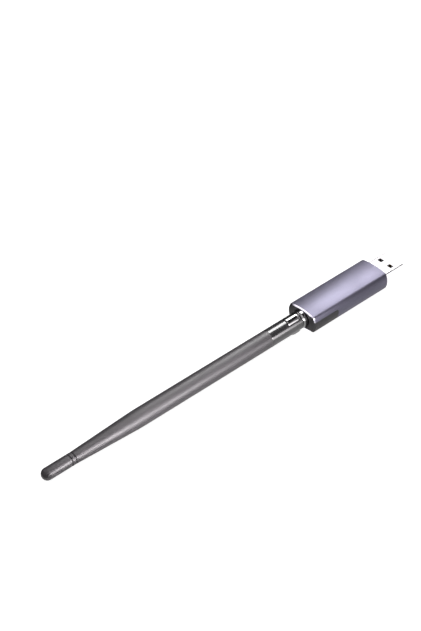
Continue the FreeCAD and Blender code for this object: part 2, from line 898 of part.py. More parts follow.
def make_swivel_base():
    """The glossy turning base: stub with a clip groove, rounded collar, and the hinge's tongue."""
    stub = s.socket_bore - s.stub_play
    groove_front = socket_mouth + s.clip_groove
    stub_front = groove_front + s.stub_tail
    groove_radius = stub - s.clip_sheet
    turn_x = collar_rear + s.collar_round
    face = s.collar_radius - s.collar_round
    core = [
        (stub_front, ZERO),
        (stub_front, stub),
        (groove_front, stub),
        (groove_front, groove_radius),
        (socket_mouth, groove_radius),
        (socket_mouth, stub),
        (collar_front, stub),
        (collar_front, s.collar_radius),
        (turn_x, s.collar_radius, (turn_x, face), s.collar_round),
        (collar_rear, face),
        (collar_rear, ZERO),
    ]
    turned_part = turned("swivel_turned", core)
    root = collar_rear + s.collar_round
    reach = s.tongue_reach
    profile = [
        (root, -reach),
        (root, BEYOND),
        (tongue_end, BEYOND),
        (tongue_end, ZERO, (pivot, ZERO), reach),
        (pivot, -reach),
    ]
    blade = prism("tongue_blade", "XZ", profile, -s.tongue_width / 2, s.tongue_width)
    barrel = turned(
        "tongue_barrel",
        [
            (root, ZERO),
            (root, s.rod_radius),
            (tongue_end + s.tongue_edge, s.rod_radius),
            (tongue_end, s.rod_radius - s.tongue_edge),
            (tongue_end, ZERO),
        ],
    )
    blank = fuse("swivel_blank", turned_part, common("tongue_form", blade, barrel))
    bore_rear = collar_rear - s.slot_setback - OVERCUT
    bore = rod("swivel_bore", bore_rear, stub_front - bore_rear + OVERCUT, s.lead_bore)
    slot = slab(
        "tongue_slot",
        (tongue_end - OVERCUT, collar_rear - s.slot_setback),
        (-s.slot_width / 2, s.slot_width / 2),
        (-BEYOND, s.slot_top),
    )
    eye = cross_pin("tongue_eye", pivot, -BEYOND, 2 * BEYOND, s.pivot_radius + s.pivot_play)
    return cut("swivel_base", blank, bore, slot, eye)


def make_swivel_clip():
    """The spring clip in the stub's groove: a flat ring with a gap."""
    inner = s.socket_bore - s.stub_play - s.clip_sheet + s.clip_play
    start = socket_mouth + s.clip_play
    ring = rod("clip_ring", start, s.clip_sheet, s.clip_radius)
    hole = rod("clip_hole", start - OVERCUT, s.clip_sheet + 2 * OVERCUT, inner)
    half = s.clip_mouth / 2
    mouth = slab("clip_mouth", (start - OVERCUT, start + 2 * OVERCUT), (-half, half), (ZERO, BEYOND))
    return cut("swivel_clip", ring, hole, mouth)


def make_swivel_coax():
    """The stretch of lead that turns with the swivel, up to the hinge."""
    start = pivot + s.lead_radius + s.lead_end_gap
    return rod("swivel_coax", start, socket_mouth + s.clip_groove + s.stub_tail - start, s.lead_radius)


def make_fork_knuckle():
    """The fork: a knuckle with two cheeks, a pivot boss on each, and a spigot in the antenna."""
    cheek_front = pivot + s.cheek_reach
    reach = s.cheek_reach
    barrel = turned(
        "fork_barrel",
        [
            (knuckle_rear, ZERO),
            (knuckle_rear, s.rod_radius),
            (cheek_front - s.cheek_edge, s.rod_radius),
            (cheek_front, s.rod_radius - s.cheek_edge),
            (cheek_front, ZERO),
        ],
    )
    profile = [
        (knuckle_rear - OVERCUT, -BEYOND),
        (knuckle_front, -BEYOND),
        (knuckle_front, -reach),
        (pivot, -reach, (pivot, ZERO), reach),
        (cheek_front, ZERO),
        (cheek_front, BEYOND),
        (knuckle_rear - OVERCUT, BEYOND),
    ]
    side = prism("fork_side", "XZ", profile, -BEYOND, 2 * BEYOND)
    half_gap = s.tongue_width / 2 + s.cheek_gap
    gap = slab("fork_gap", (knuckle_front, cheek_front + OVERCUT), (-half_gap, half_gap), (-BEYOND, BEYOND))
    ring = turned(
        "fork_edge_ring",
        [
            (knuckle_front, s.rod_radius - s.cheek_edge),
            (knuckle_front, s.rod_radius + OVERCUT),
            (knuckle_front - s.cheek_edge - OVERCUT, s.rod_radius + OVERCUT),
        ],
    )
    span = (knuckle_front - BEYOND, knuckle_front)
    middle = slab("fork_edge_span", span, (-half_gap, half_gap), (-BEYOND, BEYOND))
    edge = common("fork_edge", ring, middle)
    forked = cut("fork_forked", common("fork_form", barrel, side), gap, edge)
    bosses = []
    depth = half_gap - s.pivot_depth
    for sign in (1, -1):
        place = "left" if sign > 0 else "right"
        start = depth if sign > 0 else -half_gap - s.cheek_edge
        length = s.pivot_depth + s.cheek_edge
        bosses.append(cross_pin(f"pivot_boss_{place}", pivot, start, length, s.pivot_radius))
    spigot = rod("fork_spigot", spigot_rear, s.spigot_length + OVERCUT, s.spigot_radius)
    blank = fuse("fork_blank", forked, spigot, *bosses)
    bore = turned(
        "fork_bore",
        [
            (spigot_rear - OVERCUT, ZERO),
            (spigot_rear - OVERCUT, s.lead_bore),
            (knuckle_front - s.lead_bore, s.lead_bore),
            (knuckle_front + s.joint_gap, s.lead_bore * 2 + s.joint_gap),
            (knuckle_front + s.joint_gap, ZERO),
        ],
    )
    return cut("fork_knuckle", blank, bore)


rod_rear = knuckle_rear - s.rod_straight
taper_rear = rod_rear - s.rod_taper
tip_centre = taper_rear - s.tip_length


def make_antenna_sleeve():
    """The hollow rod: straight, then tapered, then a slim tip with two fine grooves and a round end."""
    bore = s.rod_radius - s.rod_wall
    core = s.tip_radius - s.rod_wall
    half = s.groove_width / 2
    profile = [
        (knuckle_rear, bore),
        (knuckle_rear, s.rod_radius - s.rod_mouth_edge),
        (knuckle_rear - s.rod_mouth_edge, s.rod_radius),
        (rod_rear, s.rod_radius),
        (taper_rear, s.tip_radius),
    ]
    for index in range(2):
        middle = taper_rear - s.groove_setback - s.groove_pitch * index
        profile += [
            (middle + half, s.tip_radius),
            (middle, s.tip_radius - s.groove_depth),
            (middle - half, s.tip_radius),
        ]
    profile += [
        (tip_centre, s.tip_radius, (tip_centre, ZERO), s.tip_radius),
        (tip_centre - s.tip_radius, ZERO),
        (taper_rear - s.tip_core_length, ZERO),
        (taper_rear - s.tip_core_length, core),
        (taper_rear, core),
        (rod_rear, bore),
    ]
    return turned("antenna_sleeve", profile)


choke_front = spigot_rear - s.choke_setback
choke_rear = choke_front - s.choke_length
wire_rear = taper_rear - s.tip_core_length + s.wire_gap


def make_antenna_coax():
    """The stretch of lead from the hinge to the end of the choke tube."""
    front_end = pivot - s.lead_radius - s.lead_end_gap
    return rod("antenna_coax", choke_rear, front_end - choke_rear, s.lead_radius)


def make_choke_tube():
    """The brass tube round the lead, closed at its rear end where the lead's braid joins it."""
    outer = rod("choke_outer", choke_rear, s.choke_length, s.choke_radius)
    hollow = rod(
        "choke_hollow",
        choke_rear + s.choke_wall,
        s.choke_length,
        s.choke_radius - s.choke_wall,
    )
    hole = rod("choke_hole", choke_rear - OVERCUT, 2 * OVERCUT, s.lead_radius)
    return cut("choke_tube", outer, hollow, hole)


def make_radiator_wire():
    """The straight wire that radiates behind the choke tube, and ends short of the hollow's end."""
    return rod("radiator_wire", wire_rear, choke_rear - wire_rear, s.wire_radius)


def make_wire_spacers():
    """Rings that keep the tube and the wire in the middle of the hollow rod."""
    outer = s.rod_radius - s.rod_wall - s.spacer_play
    places = [
        (choke_front - s.spacer_first, s.choke_radius),
        (choke_rear - s.spacer_second, s.wire_radius),
        (choke_rear - s.spacer_third, s.wire_radius),
    ]
    rings = []
    for index, (x, bore) in enumerate(places):
        ring = rod(f"spacer_ring_{index}", x, s.spacer_length, outer)
        hole = rod(f"spacer_hole_{index}", x - OVERCUT, s.spacer_length + 2 * OVERCUT, bore + s.spacer_play)
        rings.append(cut(f"spacer_{index}", ring, hole))
    return group("wire_spacers", rings)


# The assembly

sleeve_outer, sleeve = make_sleeve()
nodes = [
    sleeve,
    make_rear_cap(sleeve_outer),
    make_front_bezel(),
    make_usb_shell(),
    make_usb_insulator(),
    make_circuit_board(),
    make_chip("usb_bridge_chip", board_front - s.chip_inset, s.chip_offset, s.chip_side, s.chip_height),
    make_chip("radio_chip", board_rear + s.radio_inset, s.radio_offset, s.radio_side, s.radio_height),
    make_shield_can(),
    make_voltage_regulator(),
    make_crystal(),
    make_chip_capacitors(),
    make_coax_socket(),
    make_coax_plug(),
    make_coax_lead(),
    make_swivel_base(),
    make_swivel_clip(),
    make_swivel_coax(),
    make_fork_knuckle(),
    make_antenna_sleeve(),
    make_antenna_coax(),
    make_choke_tube(),
    make_radiator_wire(),
    make_wire_spacers(),
]
for number, (middle, nose) in enumerate(contact_rows(), start=1):
    nodes.append(make_usb_contact(number, middle, nose))

doc.recompute()

# Checks before anything is written

for item in doc.Objects:
    if "Invalid" in item.State or "Error" in item.State:
        raise RuntimeError(f"{item.Label} did not build: {item.State}")
for node in nodes:
    if node.Shape.isNull() or not node.Shape.isValid():
        raise RuntimeError(f"{node.Label} has no valid shape")
    if not node.Shape.Solids:
        raise RuntimeError(f"{node.Label} holds no solid")

os.makedirs("parts", exist_ok=True)
for node in nodes:
    shape = node.Shape
    shape.exportStep(f"parts/{node.Label}.step")
    box = shape.BoundBox
    print(
        f"{node.Label}: {len(shape.Solids)} solid, {shape.Volume:.2f} mm3, "
        f"x {box.XMin:.2f} to {box.XMax:.2f}, y {box.YMin:.2f} to {box.YMax:.2f}, "
        f"z {box.ZMin:.2f} to {box.ZMax:.2f}"
    )
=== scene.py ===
# %% [markdown]
# # A radio stick with a hinged antenna
# The object is a small radio adapter: an anodised aluminium housing with a bright plug at the
# front, and a long rod antenna that turns and tilts on a glossy hinge at the back.
# The engineering model is loaded first and is never moved. It gives every place and size, so each
# surface that is made here can be put straight where the model says.

# %% Load the engineering model
import json
import math

import bmesh
import bpy
import numpy as np
from mathutils import Matrix, Vector


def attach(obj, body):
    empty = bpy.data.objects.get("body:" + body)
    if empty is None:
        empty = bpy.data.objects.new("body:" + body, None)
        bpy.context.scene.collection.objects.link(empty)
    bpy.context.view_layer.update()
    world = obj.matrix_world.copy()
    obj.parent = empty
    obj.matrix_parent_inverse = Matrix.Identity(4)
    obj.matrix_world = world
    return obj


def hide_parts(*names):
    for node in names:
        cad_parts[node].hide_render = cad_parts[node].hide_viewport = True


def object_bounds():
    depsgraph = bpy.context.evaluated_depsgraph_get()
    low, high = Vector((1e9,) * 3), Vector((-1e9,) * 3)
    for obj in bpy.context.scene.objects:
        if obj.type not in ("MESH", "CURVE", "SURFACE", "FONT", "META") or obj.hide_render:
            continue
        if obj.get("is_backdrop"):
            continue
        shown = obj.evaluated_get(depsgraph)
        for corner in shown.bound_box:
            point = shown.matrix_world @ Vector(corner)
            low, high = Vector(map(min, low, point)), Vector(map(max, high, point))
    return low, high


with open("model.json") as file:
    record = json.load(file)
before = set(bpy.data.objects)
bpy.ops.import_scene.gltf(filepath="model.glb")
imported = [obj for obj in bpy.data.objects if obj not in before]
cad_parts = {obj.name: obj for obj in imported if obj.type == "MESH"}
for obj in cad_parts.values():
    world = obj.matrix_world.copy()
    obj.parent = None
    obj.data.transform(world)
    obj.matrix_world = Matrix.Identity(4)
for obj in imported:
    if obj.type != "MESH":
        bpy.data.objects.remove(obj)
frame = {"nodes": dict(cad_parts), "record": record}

MM = 0.001
nodes = frame["nodes"]
cad_low, cad_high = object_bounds()
print(f"{len(nodes)} solids, {1000 * (cad_high.x - cad_low.x):.1f} mm from plug to antenna tip")

# %% [markdown]
# ## The camera
# The stick lies flat and is seen from the left, above and behind: the tip of the antenna is
# nearest. A long lens a good arm's length away keeps the rod almost parallel.
# The look is set by two points, where the camera stands and what it looks at.

# %% Camera
EYE = Vector((-0.53609, -0.45064, 0.54112))
AIM = Vector((-0.09110, 0.02961, 0.0))
LENS, SENSOR = 105.97, 36.0
camera_data = bpy.data.cameras.new("camera")
camera_data.lens = LENS
camera_data.sensor_width = SENSOR
camera = bpy.data.objects.new("camera", camera_data)
camera.location = EYE
camera.rotation_euler = (AIM - EYE).to_track_quat("-Z", "Y").to_euler()
bpy.context.scene.collection.objects.link(camera)
bpy.context.scene.camera = camera
bpy.context.scene.view_settings.view_transform = "Standard"
print(f"camera {1000 * (AIM - EYE).length:.0f} mm from what it looks at")

# %% [markdown]
# ## Node helpers
# Every material here is a small tree of nodes. Writing a tree is mostly adding a node and joining
# its inputs, so one helper does both. A second one finds the rays that look straight at a surface,
# because the white of the paper and of the room is meant for them and not for the stick's light.

# %% Node helpers
def add_node(tree, kind, inputs=(), **settings):
    """Adds a node, sets its settings, and links or sets each input that is given."""
    node = tree.nodes.new(kind)
    for name, value in settings.items():
        setattr(node, name, value)
    for key, value in dict(inputs).items():
        if isinstance(value, bpy.types.NodeSocket):
            tree.links.new(value, node.inputs[key])
        else:
            node.inputs[key].default_value = value
    return node


def seen_directly(tree):
    """1 for rays that the eye, a reflection or a clear body sees, 0 for the light that falls on
    things: the largest of the three marks that Light Path gives."""
    path = add_node(tree, "ShaderNodeLightPath")
    marks = path.outputs
    first = add_node(tree, "ShaderNodeMath",
                     {0: marks["Is Camera Ray"], 1: marks["Is Glossy Ray"]}, operation="MAXIMUM")
    both = add_node(tree, "ShaderNodeMath",
                    {0: first.outputs[0], 1: marks["Is Transmission Ray"]}, operation="MAXIMUM")
    return path, both.outputs[0]


# %% [markdown]
# ## Floor
# The floor is a pale sheet under the stick's flat underside. Where the camera or a reflection sees
# it, a little light of its own lifts it to white, and the stick's soft shadow stays on it.

# %% Floor
FLOOR_HALF, PAPER, PAPER_LIFT = 6.0, 0.62, 0.45
floor_mesh = bpy.data.meshes.new("floor")
floor_z = cad_low.z
square = np.array([(-1, -1, 0), (1, -1, 0), (1, 1, 0), (-1, 1, 0)])
corners = square * FLOOR_HALF + (0, 0, floor_z)
floor_mesh.from_pydata(corners.tolist(), [], [(0, 1, 2, 3)])
floor = bpy.data.objects.new("floor", floor_mesh)
bpy.context.scene.collection.objects.link(floor)
floor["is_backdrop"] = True
paper = bpy.data.materials.new("white_paper")
paper.use_nodes = True
tree = paper.node_tree
tree.nodes.clear()
path, direct = seen_directly(tree)
sheet = add_node(tree, "ShaderNodeBsdfDiffuse",
                 {"Color": (PAPER, PAPER, PAPER, 1), "Roughness": 0.6})
gloss_lift = add_node(tree, "ShaderNodeMath", {0: direct, 1: PAPER_LIFT}, operation="MULTIPLY")
lift = add_node(tree, "ShaderNodeMath",
                {0: path.outputs["Is Camera Ray"], 1: PAPER_LIFT, 2: gloss_lift.outputs[0]},
                operation="MULTIPLY_ADD")
glow = add_node(tree, "ShaderNodeEmission", {"Color": (1, 1, 1, 1), "Strength": lift.outputs[0]})
total = add_node(tree, "ShaderNodeAddShader", {0: sheet.outputs[0], 1: glow.outputs[0]})
add_node(tree, "ShaderNodeOutputMaterial", {"Surface": total.outputs[0]})
floor_mesh.materials.append(paper)
print(f"floor at {1000 * floor_z:.2f} mm")

# %% [markdown]
# ## Room
# The room is plain white to the eye. In the gloss it is white round the stick and dim overhead, so
# that the dark rod stays dark on top, and its own light on the stick is soft and even.

# %% Room
ROOM_LIGHT, CEILING = 0.30, 0.05
DIM_FROM, DIM_TO = 0.12, 0.5
world = bpy.data.worlds.new("white_room")
bpy.context.scene.world = world
world.use_nodes = True
tree = world.node_tree
tree.nodes.clear()
path, direct = seen_directly(tree)
place = add_node(tree, "ShaderNodeTexCoord")
height = add_node(tree, "ShaderNodeSeparateXYZ", {0: place.outputs["Generated"]})
overhead = add_node(tree, "ShaderNodeMapRange",
                    {"Value": height.outputs["Z"], "From Min": DIM_FROM, "From Max": DIM_TO,
                     "To Min": 1.0, "To Max": CEILING}, interpolation_type="SMOOTHSTEP")
to_eye = add_node(tree, "ShaderNodeMath",
                  {0: overhead.outputs[0], 1: path.outputs["Is Camera Ray"]}, operation="MAXIMUM")
seen = add_node(tree, "ShaderNodeMix", {"Factor": direct, "A": ROOM_LIGHT, "B": to_eye.outputs[0]})
sky = add_node(tree, "ShaderNodeBackground", {"Color": (1, 1, 1, 1), "Strength": seen.outputs[0]})
add_node(tree, "ShaderNodeOutputWorld", {"Surface": sky.outputs[0]})
print("room: white to the eye, soft light on the stick")

# %% [markdown]
# ## Soft boxes
# A photographer lights such a shiny rod with a long soft box, because it draws a clean light line
# along it. It hangs behind the stick and gives the broad line near the top. Here the box is two
# lamps in one place: a strong one that only the gloss sees, and a weak one that only lights the
# surface, so the line is bright and the colours stay plain. A wide, weak lamp over the camera's
# shoulder fills the rest, and leaves no line of its own.

# %% Lamps
def facing_turn(away, along):
    """The turn of a sheet whose front looks along minus away and whose long side lies near the
    direction along: along less its part that points away, and the cross product of the two."""
    away = Vector(away).normalized()
    side = (Vector(along) - away * away.dot(Vector(along))).normalized()
    up = away.cross(side)
    return Matrix(np.column_stack([side, up, away]).tolist())


def soft_box(name, centre, target, along, across, radiance, in_gloss=True, in_diffuse=True):
    """A rectangular lamp that faces the target. Radiance is what a mirror would show of it, so its
    power is radiance times pi times its area."""
    data = bpy.data.lights.new(name, "AREA")
    data.shape = "RECTANGLE"
    data.size, data.size_y = along, across
    data.energy = radiance * math.pi * along * across
    lamp = bpy.data.objects.new(name, data)
    lamp.location = centre
    lamp.rotation_euler = facing_turn(Vector(centre) - Vector(target), (1, 0, 0)).to_euler()
    lamp.visible_camera = False
    lamp.visible_glossy = in_gloss
    lamp.visible_diffuse = in_diffuse
    bpy.context.scene.collection.objects.link(lamp)
    print(f"{name}: {data.energy:.2f} W")
    return lamp


KEY = ((0.275, 0.175, 0.39), (-0.05, 0.0, 0.0), 0.30, 0.26)
soft_box("key_box", *KEY, 9.0, in_diffuse=False)
soft_box("key_glow", *KEY, 2.2, in_gloss=False)
soft_box("top_fill", (-0.30, -0.25, 1.0), (-0.1, 0.0, 0.0), 0.9, 0.9, 2.4, in_gloss=False)

# %% [markdown]
# ## Cards
# Cards that only a reflection can see finish the gloss. Most are small and hang near the stick, so
# each draws its light on one piece and changes little when the stick is seen from elsewhere.
# White ones low in front draw the second line along the rod, stronger towards the tip. Sheets
# above set the tone of the housing, of the rod between its two lines, and of the plug's top and
# near edge. Dim ones beside and behind the stick and at the tip keep its edges dark, so that they
# stand out from the white room, and one far behind lights the housing's polished back edge.
# None takes light away or casts a shadow.

# %% Card helpers
CARD_TINT = (1, 0.96, 0.985, 1)


def card(name, corners, level, far_level=None):
    """A flat sheet through four corners that only gloss rays see. It glows evenly, or its glow
    runs straight from the level at the first corner's X to the far level at the second's."""
    mesh = bpy.data.meshes.new(name)
    mesh.from_pydata(corners, [], [(0, 1, 2, 3)])
    sheet = bpy.data.objects.new(name, mesh)
    bpy.context.scene.collection.objects.link(sheet)
    sheet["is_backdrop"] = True
    for ray in ("camera", "diffuse", "transmission", "volume_scatter", "shadow"):
        setattr(sheet, f"visible_{ray}", False)
    face = bpy.data.materials.new(name)
    face.use_nodes = True
    tree = face.node_tree
    tree.nodes.clear()
    place = add_node(tree, "ShaderNodeTexCoord").outputs["Object"]
    along = add_node(tree, "ShaderNodeSeparateXYZ", {0: place})
    slope = add_node(tree, "ShaderNodeMapRange",
                     {"Value": along.outputs["X"], "From Min": corners[0][0],
                      "From Max": corners[1][0], "To Min": level,
                      "To Max": level if far_level is None else far_level})
    glow = add_node(tree, "ShaderNodeEmission",
                    {"Color": CARD_TINT, "Strength": slope.outputs[0]})
    add_node(tree, "ShaderNodeOutputMaterial", {"Surface": glow.outputs[0]})
    mesh.materials.append(face)
    print(f"{name}: level {level}")


def upright(left, right, low, high, y=-0.06):
    """The corners of an upright sheet along the stick."""
    return [(left, y, low), (right, y, low), (right, y, high), (left, y, high)]


def sheet_above(left, right, near, far, height=0.042):
    """The corners of a level sheet above the stick."""
    return [(left, near, height), (right, near, height), (right, far, height), (left, far, height)]


# %% Cards round the stick
card("front_card", upright(-0.10, -0.026, 0.003, 0.034), 9.0, 3.4)
card("front_card_tip", upright(-0.19, -0.10, 0.003, 0.034), 22.0, 10.0)
card("side_card", upright(-0.020, 0.12, -0.004, 0.036), 0.3)
card("housing_card_top", sheet_above(-0.034, 0.014, -0.018, 0.004), 2.1)
card("housing_card_side", sheet_above(-0.034, 0.014, -0.065, -0.018), 0.6)
card("rod_card", sheet_above(-0.22, -0.062, -0.065, 0.002), 0.3, 1.8)
card("plug_card_top", sheet_above(0.0105, 0.045, 0.003, 0.052, 0.032), 1.25)
card("plug_card_side", sheet_above(-0.010, 0.014, -0.020, -0.0065, -0.005), 1.35)
card("far_card",
     [(-0.3, 0.012, -0.004), (0.6, 0.012, -0.004), (0.6, 0.32, 0.2), (-0.3, 0.32, 0.2)], 0.05)
card("tip_card",
     [(-0.221, -0.05, -0.0045), (-0.2209, 0.05, -0.0045), (-0.26, 0.09, 0.09),
      (-0.26, -0.09, 0.09)], 0.02)
card("rim_card",
     [(-0.60, 0.21, 0.16), (-0.30, 0.55, 0.14), (-0.26, 0.45, 0.50), (-0.52, 0.15, 0.55)], 2.4)

# %% [markdown]
# ## Shared surface effects
# Every real surface here varies a little: moulded plastic has a fine spark-eroded grain, blasted
# aluminium sparkles, and a handled surface is glossier in some places than in others.
# Each effect is a node group that gives a height or a mask, so that all materials can share it.
# The grain is a fine noise, with a coarser one mixed into its tone.

# %% Grain group
def new_group(name, inputs, outputs):
    """An empty shader group with the named inputs and outputs."""
    group = bpy.data.node_groups.new(name, "ShaderNodeTree")
    for label, kind in inputs:
        group.interface.new_socket(label, in_out="INPUT", socket_type=kind)
    for label, kind in outputs:
        group.interface.new_socket(label, in_out="OUTPUT", socket_type=kind)
    return group, add_node(group, "NodeGroupInput"), add_node(group, "NodeGroupOutput")


VECTOR, NUMBER = "NodeSocketVector", "NodeSocketFloat"
COARSER, COARSE_SHARE = 0.12, 0.45
grain, start, end = new_group(
    "fine_grain", [("Place", VECTOR), ("Fineness", NUMBER), ("Streaks", VECTOR)],
    [("Height", NUMBER), ("Tone", NUMBER)])
fineness = start.outputs["Fineness"]
stretched = add_node(grain, "ShaderNodeVectorMath",
                     {0: start.outputs["Place"], 1: start.outputs["Streaks"]},
                     operation="MULTIPLY")
fine = add_node(grain, "ShaderNodeTexNoise",
                {"Vector": stretched.outputs[0], "Scale": fineness, "Detail": 3.0,
                 "Roughness": 0.6})
coarse_scale = add_node(grain, "ShaderNodeMath", {0: fineness, 1: COARSER}, operation="MULTIPLY")
coarse = add_node(grain, "ShaderNodeTexNoise",
                  {"Vector": stretched.outputs[0], "Scale": coarse_scale.outputs[0],
                   "Detail": 2.0})
tone = add_node(grain, "ShaderNodeMix",
                {"Factor": COARSE_SHARE, "A": fine.outputs["Fac"], "B": coarse.outputs["Fac"]})
grain.links.new(fine.outputs["Fac"], end.inputs["Height"])
grain.links.new(tone.outputs[0], end.inputs["Tone"])
print("group: fine_grain")

# %% [markdown]
# ## Handling
# Fingers leave faint clouds of gloss. A slow noise, pulled apart so that most of the surface is
# either clean or touched, gives a mask for them.

# %% Handling group
handling, start, end = new_group(
    "handling", [("Place", VECTOR), ("Patches", NUMBER)], [("Smudge", NUMBER)])
cloud = add_node(handling, "ShaderNodeTexNoise",
                 {"Vector": start.outputs["Place"], "Scale": start.outputs["Patches"],
                  "Detail": 4.0, "Distortion": 0.6})
smudge = add_node(handling, "ShaderNodeMapRange",
                  {"Value": cloud.outputs["Fac"], "From Min": 0.35, "From Max": 0.65},
                  interpolation_type="SMOOTHSTEP")
handling.links.new(smudge.outputs[0], end.inputs["Smudge"])
print("group: handling")

# %% [markdown]
# ## Finishes
# One recipe makes them all: two close tints mixed by the grain, a roughness that drifts with
# handling, and a shallow bump. What is the same all over a surface is set on the shader itself.

# %% The finish recipe
finishes = {}


def finish(name, dark, light, roughness, spread=0.05, metallic=0.0, specular=0.5, coat=0.0,
           ior=1.5, fineness=2500.0, streaks=(1, 1, 1), relief=6e-6, patches=60.0):
    """A material whose colour runs from dark to light with the grain, whose roughness drifts by
    spread to either side, and whose grain stands up by relief in metres."""
    material = bpy.data.materials.new(name)
    material.use_nodes = True
    tree = material.node_tree
    tree.nodes.clear()
    place = add_node(tree, "ShaderNodeTexCoord").outputs["Object"]
    grains = add_node(tree, "ShaderNodeGroup", node_tree=grain)
    grains.inputs["Fineness"].default_value = fineness
    grains.inputs["Streaks"].default_value = streaks
    tree.links.new(place, grains.inputs["Place"])
    hands = add_node(tree, "ShaderNodeGroup", node_tree=handling)
    hands.inputs["Patches"].default_value = patches
    tree.links.new(place, hands.inputs["Place"])
    colour = add_node(tree, "ShaderNodeMix", {"Factor": grains.outputs["Tone"]},
                      data_type="RGBA")
    colour.inputs["A"].default_value = (*dark, 1)
    colour.inputs["B"].default_value = (*light, 1)
    rough = add_node(tree, "ShaderNodeMapRange",
                     {"Value": hands.outputs["Smudge"], "To Min": roughness - spread,
                      "To Max": roughness + spread})
    bump = add_node(tree, "ShaderNodeBump",
                    {"Height": grains.outputs["Height"], "Distance": relief, "Strength": 1.0})
    shader = add_node(tree, "ShaderNodeBsdfPrincipled",
                      {"Base Color": colour.outputs["Result"], "Roughness": rough.outputs[0],
                       "Normal": bump.outputs[0], "Metallic": metallic,
                       "Specular IOR Level": specular, "Coat Weight": coat, "IOR": ior})
    add_node(tree, "ShaderNodeOutputMaterial", {"Surface": shader.outputs[0]})
    finishes[name] = material
    return material


# %% [markdown]
# ## Finishes of the outside
# The housing is blasted and anodised a greyish violet, with bare bright metal where its ends were
# cut afterwards. The plug is plated steel, painted near black inside as painted shade, where
# little light comes. The swivel is polished black, the knuckle satin, and the rod and the cap are
# matt.

# %% Outside
finish("anodised_aluminium", (0.125, 0.120, 0.161), (0.155, 0.149, 0.196), 0.45, 0.03,
       metallic=1.0, fineness=5000.0, relief=5e-6, patches=35.0)
finish("cut_edge", (0.50, 0.49, 0.56), (0.60, 0.59, 0.66), 0.16, 0.04, metallic=1.0,
       fineness=1500.0, streaks=(12, 1, 1), relief=1e-6)
finish("cap_plastic", (0.022, 0.020, 0.022), (0.060, 0.057, 0.061), 0.42, 0.06, specular=0.35,
       fineness=2400.0, relief=1.2e-5)
finish("plug_steel", (0.80, 0.80, 0.80), (0.90, 0.90, 0.90), 0.17, 0.04, metallic=1.0,
       fineness=900.0, streaks=(1, 8, 8), relief=1.5e-6)
# Painted shade: near-black steel for the inside of the plug, which is the same plated sheet in
# shadow
finish("plug_inside_painted_shade", (0.012, 0.012, 0.012), (0.025, 0.025, 0.025), 0.45, 0.05, metallic=1.0,
       fineness=900.0)
finish("gloss_black", (0.003, 0.003, 0.0035), (0.006, 0.006, 0.0065), 0.07, 0.02, specular=1.0,
       coat=1.0, ior=2.0, fineness=800.0, relief=3e-7)
finish("knuckle_plastic", (0.032, 0.030, 0.033), (0.044, 0.042, 0.045), 0.19, 0.03,
       specular=1.0, ior=1.6, fineness=1500.0, relief=4e-7)
finish("rod_plastic", (0.042, 0.037, 0.042), (0.060, 0.054, 0.060), 0.46, 0.03, specular=0.85,
       fineness=2600.0, relief=1.2e-6)
print(f"{len(finishes)} finishes outside")

# %% [markdown]
# ## Finishes of the inside
# What the housing and the rod hide is finished too, because the parts can be taken apart: green
# board, dark chips, tinned and spring steel, brass, gilt contacts and pale rings.

# %% Inside
finish("insulator_plastic", (0.018, 0.018, 0.020), (0.032, 0.032, 0.035), 0.35)
finish("gold_contact", (0.80, 0.58, 0.24), (0.92, 0.70, 0.32), 0.18, 0.05, metallic=1.0,
       fineness=1200.0, relief=1e-6)
finish("board_laminate", (0.016, 0.10, 0.045), (0.03, 0.15, 0.07), 0.3, streaks=(1, 1, 0.2),
       fineness=1800.0)
finish("chip_moulding", (0.020, 0.020, 0.020), (0.036, 0.036, 0.036), 0.5, fineness=6000.0,
       relief=8e-6)
finish("tinned_steel", (0.58, 0.58, 0.56), (0.72, 0.72, 0.70), 0.28, 0.08, metallic=1.0,
       streaks=(1, 6, 6), fineness=1200.0, relief=2e-6)
finish("ceramic", (0.36, 0.25, 0.16), (0.46, 0.34, 0.23), 0.55, fineness=4000.0)
finish("lead_jacket", (0.010, 0.010, 0.010), (0.022, 0.022, 0.022), 0.4, fineness=2000.0)
finish("spring_steel", (0.38, 0.38, 0.39), (0.50, 0.50, 0.51), 0.3, 0.06, metallic=1.0,
       fineness=1500.0)
finish("radiator_brass", (0.62, 0.45, 0.20), (0.74, 0.56, 0.28), 0.3, 0.06, metallic=1.0,
       streaks=(0.1, 1, 1))
finish("spacer_plastic", (0.74, 0.74, 0.70), (0.84, 0.84, 0.80), 0.5)
print(f"{len(finishes)} finishes in all")

# %% [markdown]
# ## Finishes on the engineering model
# Each solid of the model names its material slot in the record, so the finishes are matched by
# name.

# %% Dress the solids
slot_of = {entry["node"]: entry["material_slot"] for entry in frame["record"]["subparts"]}
for name, node in nodes.items():
    node.data.materials.clear()
    node.data.materials.append(finishes[slot_of[name]])
print(f"{len(nodes)} solids dressed")

# %% [markdown]
# ## Surfaces by formula
# The shapes that show most are made again as smooth surfaces. Each one is a grid of points worked
# out at once from two parameters, or a profile turned about the antenna's axis. The grid's quads
# join neighbours; a seam or pole closes by merging points that coincide.

# %% Grid and mesh helpers
def grid_quads(rows, columns, closed=False):
    """The quads between neighbours of a rows by columns grid: point row * columns + column, the
    one after it, and the two above them. Closed joins the last column to the first."""
    row = np.arange(rows - 1)[:, None] * columns
    column = np.arange(columns if closed else columns - 1)[None, :]
    after = (column + 1) % columns
    corners = [row + column, row + after, row + columns + after, row + columns + column]
    return np.stack(corners, -1).reshape(-1, 4)


def end_faces(rows, columns):
    """The two faces that close a tube of points: its first row and its last."""
    return [list(range(columns)), list(range((rows - 1) * columns, rows * columns))]


